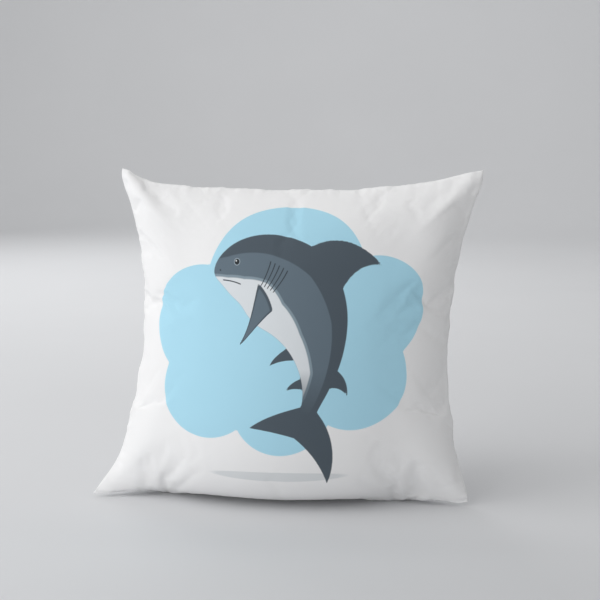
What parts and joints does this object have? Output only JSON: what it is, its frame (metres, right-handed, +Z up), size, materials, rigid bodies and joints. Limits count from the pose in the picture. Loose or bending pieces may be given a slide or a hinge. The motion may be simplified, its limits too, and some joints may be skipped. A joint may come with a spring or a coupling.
{
  "type": "throw pillow",
  "caption": "Square zipped throw pillow with a printed front, a fibre-filled insert, and a zip across the lower back; it stands on its bottom edge, leaning back.",
  "frame": {"origin": "middle of the base, on the surface the pillow stands on", "axes": "+X to the right seen from the printed front, +Z up, and the front faces -Y"},
  "size_m": [0.438, 0.1822, 0.382],
  "materials": {
    "cover_cloth": "matte woven polyester, printed on the front",
    "insert_cloth": "matte non-woven",
    "fibre": "loose polyester fibre",
    "thread": "satin",
    "satin": "satin",
    "zip_tape": "matte woven",
    "nylon": "satin",
    "zip_metal": "satin"
  },
  "bodies": {
    "cushion": {"front_panel": "cover_cloth", "back_panel_upper": "cover_cloth", "back_panel_lower": "cover_cloth", "overlocked_seams": "thread", "care_tag": "satin", "zip_tape_upper": "zip_tape", "zip_tape_lower": "zip_tape", "zip_coil_upper": "nylon", "zip_coil_lower": "nylon", "zip_top_stops": "zip_metal", "zip_bottom_stop": "zip_metal", "zip_topstitching": "thread", "zip_bartacks": "thread", "insert_front_panel": "insert_cloth", "insert_back_panel": "insert_cloth", "insert_closing_seam": "thread", "fibre_fill": "fibre"},
    "slider": {"zip_slider": "zip_metal"},
    "pull": {"zip_pull": "zip_metal"}
  },
  "joints": [
    {"name": "zip_run", "type": "hinge", "parent": "cushion", "child": "slider", "pos_m": [0, -0.17358, 0], "axis": [0, 0, 1], "range_deg": [0, 66.1]},
    {"name": "zip_pull_swing", "type": "hinge", "parent": "slider", "child": "pull", "pos_m": [0.13854, 0.03658, 0.09425], "axis": [-0.1262, -0.1914, -0.9734], "range_deg": [0, 175]}
  ]
}
